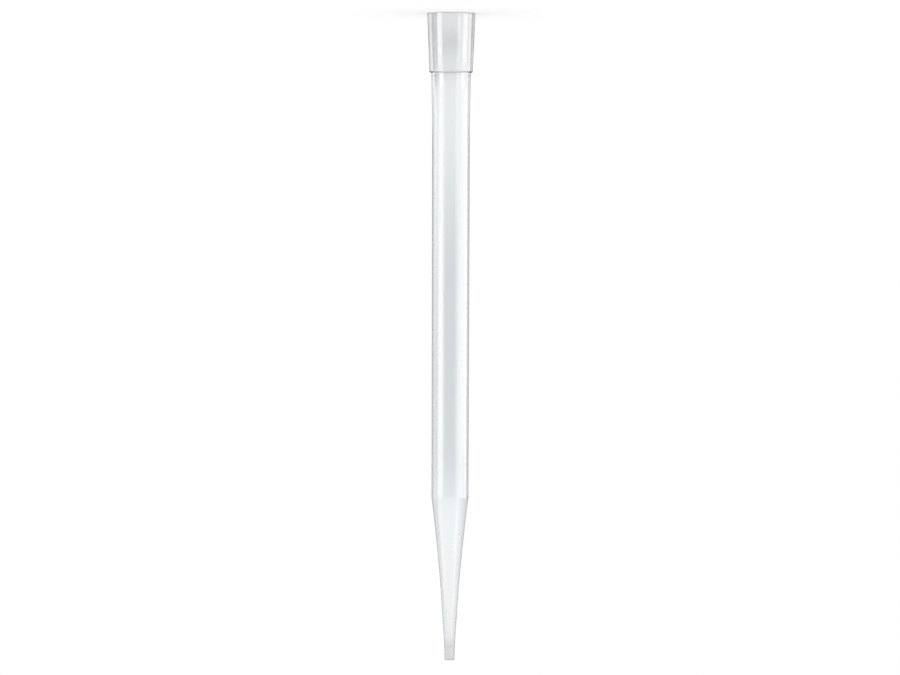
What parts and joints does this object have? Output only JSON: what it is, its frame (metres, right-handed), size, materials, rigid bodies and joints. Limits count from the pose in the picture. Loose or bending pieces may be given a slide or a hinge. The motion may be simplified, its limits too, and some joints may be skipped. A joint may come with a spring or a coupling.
{
  "type": "pipette tip",
  "caption": "Long clear plastic pipette tip: a tapered collar that takes the pipette's nose cone, a straight thin-walled barrel and a drawn-in end with a fine orifice.",
  "frame": {"origin": "centre of the mouth, on the plane of the rim that the tip stands on", "axes": "+Z runs along the tip's axis, from the mouth to the point; X and Y are any two directions across it, because the tip is a solid of revolution"},
  "size_m": [0.0118, 0.0118, 0.16],
  "materials": {
    "natural_polypropylene": "clear, faintly milky moulded plastic with a polished surface"
  },
  "bodies": {
    "root": {"pipette_tip": "natural_polypropylene"}
  },
  "joints": []
}
